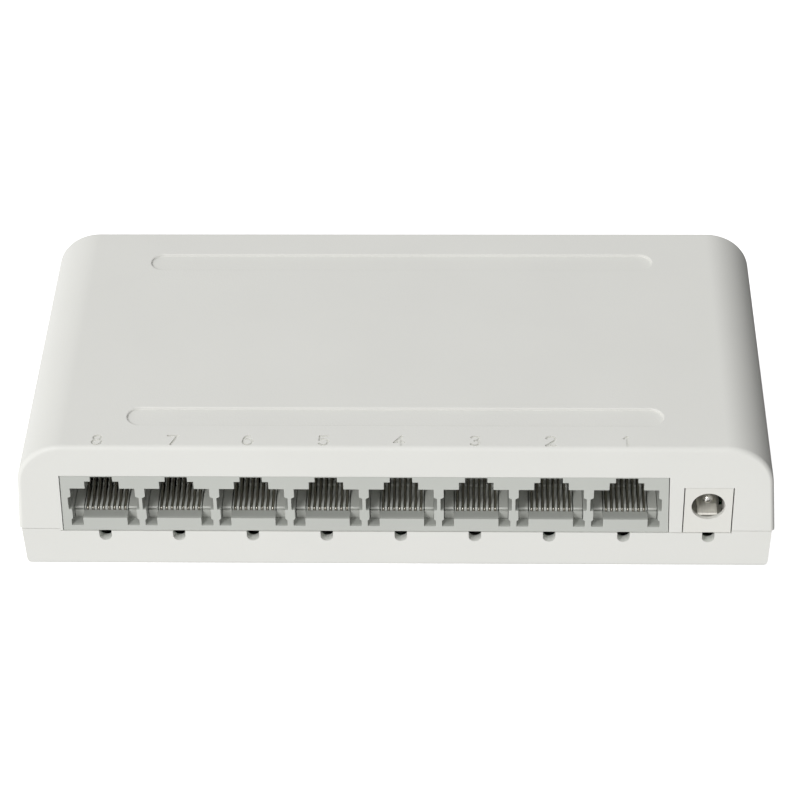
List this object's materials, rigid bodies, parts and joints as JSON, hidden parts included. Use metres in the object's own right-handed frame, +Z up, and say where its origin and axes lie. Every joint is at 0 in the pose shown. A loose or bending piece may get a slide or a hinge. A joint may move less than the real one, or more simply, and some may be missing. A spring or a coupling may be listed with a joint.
{
  "type": "desktop network switch",
  "caption": "Small white desktop network switch: moulded two-part casing, ganged modular jacks with spring contacts, status-lamp notches and a barrel power inlet.",
  "frame": {"origin": "centre of the footprint on the surface the feet stand on", "axes": "+X along the ports to the viewer's right, the ports face -Y, +Z up"},
  "size_m": [0.1424, 0.068, 0.031],
  "materials": {
    "casing_plastic": "fine moulded grain, satin-matte white ABS",
    "jack_plastic": "matte light grey PBT",
    "carrier_plastic": "matte grey PBT",
    "foot_rubber": "matte",
    "screw_steel": "zinc plated",
    "board_laminate": "green solder mask",
    "contact_gold": "thin gold flash over nickel",
    "lamp_resin": "milky resin",
    "inlet_plastic": "satin ivory plastic",
    "pin_nickel": "polished nickel",
    "leaf_nickel": "rolled nickel plate",
    "package_epoxy": "moulded epoxy",
    "transformer_epoxy": "moulded epoxy",
    "pin_tin": "matte tin",
    "can_nickel": "drawn can",
    "capacitor_sleeve": "heat-shrunk sleeve",
    "ferrite": "matte ferrite",
    "resistor_film": "thick film",
    "capacitor_ceramic": "fired ceramic"
  },
  "bodies": {
    "root": {"top_cover": "casing_plastic", "bottom_cover": "casing_plastic", "cover_screws": "screw_steel", "board_screws": "screw_steel", "foot_1": "foot_rubber", "foot_2": "foot_rubber", "foot_3": "foot_rubber", "foot_4": "foot_rubber", "circuit_board": "board_laminate", "jack_housing": "jack_plastic", "contact_carriers": "carrier_plastic", "port_1_leads": "contact_gold", "port_2_leads": "contact_gold", "port_3_leads": "contact_gold", "port_4_leads": "contact_gold", "port_5_leads": "contact_gold", "port_6_leads": "contact_gold", "port_7_leads": "contact_gold", "port_8_leads": "contact_gold", "led_1": "lamp_resin", "led_2": "lamp_resin", "led_3": "lamp_resin", "led_4": "lamp_resin", "led_5": "lamp_resin", "led_6": "lamp_resin", "led_7": "lamp_resin", "led_8": "lamp_resin", "led_power": "lamp_resin", "inlet_housing": "inlet_plastic", "inlet_pin": "pin_nickel", "inlet_ground_tail": "leaf_nickel", "inlet_switch_tail": "leaf_nickel", "switch_chip": "package_epoxy", "switch_chip_pins": "pin_tin", "transformer_1": "transformer_epoxy", "transformer_2": "transformer_epoxy", "transformer_3": "transformer_epoxy", "transformer_4": "transformer_epoxy", "transformer_pins": "pin_tin", "crystal": "can_nickel", "capacitor_1": "capacitor_sleeve", "capacitor_2": "capacitor_sleeve", "capacitor_3": "capacitor_sleeve", "inductor": "ferrite", "regulator": "package_epoxy", "config_memory": "package_epoxy", "small_chip_pins": "pin_tin", "resistors": "resistor_film", "ceramic_capacitors": "capacitor_ceramic"},
    "port_1_springs": {"port_1_contacts": "contact_gold"},
    "port_2_springs": {"port_2_contacts": "contact_gold"},
    "port_3_springs": {"port_3_contacts": "contact_gold"},
    "port_4_springs": {"port_4_contacts": "contact_gold"},
    "port_5_springs": {"port_5_contacts": "contact_gold"},
    "port_6_springs": {"port_6_contacts": "contact_gold"},
    "port_7_springs": {"port_7_contacts": "contact_gold"},
    "port_8_springs": {"port_8_contacts": "contact_gold"},
    "inlet_leaf": {"inlet_spring": "leaf_nickel"}
  },
  "joints": [
    {"name": "port_1_contact_flex", "type": "hinge", "parent": "root", "child": "port_1_springs", "pos_m": [0.04319, -0.03088, 0.0136], "axis": [-1, 0, 0], "range_deg": [0, 10], "stiffness_Nm_per_rad": 0.02},
    {"name": "port_2_contact_flex", "type": "hinge", "parent": "root", "child": "port_2_springs", "pos_m": [0.02923, -0.03088, 0.0136], "axis": [-1, 0, 0], "range_deg": [0, 10], "stiffness_Nm_per_rad": 0.02},
    {"name": "port_3_contact_flex", "type": "hinge", "parent": "root", "child": "port_3_springs", "pos_m": [0.01525, -0.03088, 0.0136], "axis": [-1, 0, 0], "range_deg": [0, 10], "stiffness_Nm_per_rad": 0.02},
    {"name": "port_4_contact_flex", "type": "hinge", "parent": "root", "child": "port_4_springs", "pos_m": [0.00128, -0.03088, 0.0136], "axis": [-1, 0, 0], "range_deg": [0, 10], "stiffness_Nm_per_rad": 0.02},
    {"name": "port_5_contact_flex", "type": "hinge", "parent": "root", "child": "port_5_springs", "pos_m": [-0.01269, -0.03088, 0.0136], "axis": [-1, 0, 0], "range_deg": [0, 10], "stiffness_Nm_per_rad": 0.02},
    {"name": "port_6_contact_flex", "type": "hinge", "parent": "root", "child": "port_6_springs", "pos_m": [-0.02666, -0.03088, 0.0136], "axis": [-1, 0, 0], "range_deg": [0, 10], "stiffness_Nm_per_rad": 0.02},
    {"name": "port_7_contact_flex", "type": "hinge", "parent": "root", "child": "port_7_springs", "pos_m": [-0.04063, -0.03088, 0.0136], "axis": [-1, 0, 0], "range_deg": [0, 10], "stiffness_Nm_per_rad": 0.02},
    {"name": "port_8_contact_flex", "type": "hinge", "parent": "root", "child": "port_8_springs", "pos_m": [-0.05459, -0.03088, 0.0136], "axis": [-1, 0, 0], "range_deg": [0, 10], "stiffness_Nm_per_rad": 0.02},
    {"name": "inlet_leaf_flex", "type": "hinge", "parent": "root", "child": "inlet_leaf", "pos_m": [0.0585, -0.02268, 0.0131], "axis": [1, 0, 0], "range_deg": [0, 5], "stiffness_Nm_per_rad": 0.03}
  ]
}
